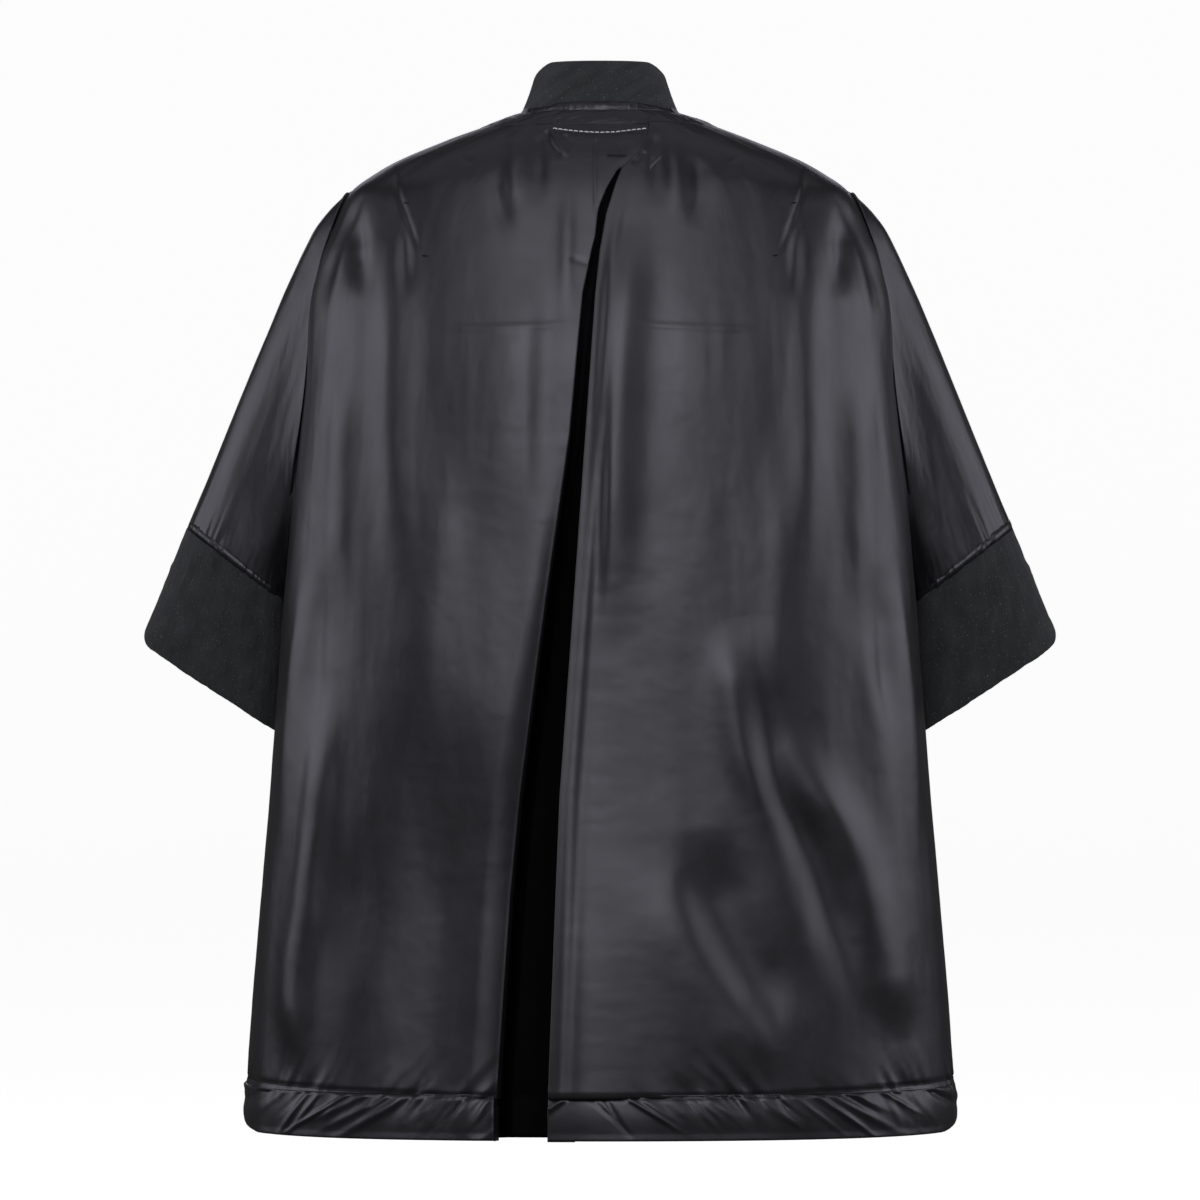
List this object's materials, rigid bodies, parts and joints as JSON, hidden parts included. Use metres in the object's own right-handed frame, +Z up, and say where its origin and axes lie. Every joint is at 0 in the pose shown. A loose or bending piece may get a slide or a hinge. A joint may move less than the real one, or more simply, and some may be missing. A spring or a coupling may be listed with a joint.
{
  "type": "barber cape",
  "caption": "Elbow-sleeved barber cape in black satin with a knit stand collar, deep knit cuffs, an open back pleat and a snap front.",
  "frame": {"origin": "centre of the neck opening, at the height of the collar's seam at the back", "axes": "+Z up, the wearer faces +Y, so the back panels lie on -Y; +X is the wearer's right"},
  "size_m": [0.9284, 0.3764, 1.061],
  "materials": {
    "satin": "satin",
    "pleat_satin": "satin",
    "knit": "matte",
    "lining": "satin",
    "label": "matte",
    "white_thread": "matte",
    "black_thread": "matte",
    "stud_metal": "satin",
    "spring_steel": "polished"
  },
  "bodies": {
    "garment": {"collar_rib": "knit", "neck_band": "satin", "label_patch": "label", "label_stitches": "white_thread", "yoke_lining": "lining", "back_left_panel": "satin", "back_right_panel": "satin", "pleat_underlay": "pleat_satin", "front_left_panel": "satin", "front_right_panel": "satin", "left_placket": "lining", "right_placket_upper": "lining", "hem_back_left": "satin", "hem_back_right": "satin", "hem_front_left": "satin", "hem_front_right": "satin", "upper_snap_caps": "stud_metal", "upper_snap_sockets": "stud_metal", "snap_studs": "stud_metal", "snap_posts": "stud_metal", "bartacks": "black_thread"},
    "front_flap": {"front_flap": "satin", "right_placket": "lining", "hem_front_flap": "satin", "snap_caps": "stud_metal", "snap_sockets": "stud_metal", "snap_springs": "spring_steel"},
    "left_sleeve": {"left_sleeve": "satin", "left_cuff_seam": "satin", "left_cuff": "knit"},
    "right_sleeve": {"right_sleeve": "satin", "right_cuff_seam": "satin", "right_cuff": "knit"},
    "hanger_loop": {"hanger_loop": "lining"}
  },
  "joints": [
    {"name": "front_flap_open", "type": "hinge", "parent": "garment", "child": "front_flap", "pos_m": [-0.02, 0.1462, -0.2], "axis": [0.2505, 0.0364, -0.9674], "range_deg": [0, 110]},
    {"name": "left_sleeve_lift", "type": "hinge", "parent": "garment", "child": "left_sleeve", "pos_m": [-0.2506, 0, -0.076], "axis": [0, 1, 0], "range_deg": [0, 8]},
    {"name": "right_sleeve_lift", "type": "hinge", "parent": "garment", "child": "right_sleeve", "pos_m": [0.2506, 0, -0.076], "axis": [0, -1, 0], "range_deg": [0, 8]},
    {"name": "hanger_loop_flip", "type": "hinge", "parent": "garment", "child": "hanger_loop", "pos_m": [0, -0.062, 0.002], "axis": [1, 0, 0], "range_deg": [0, 150]}
  ]
}
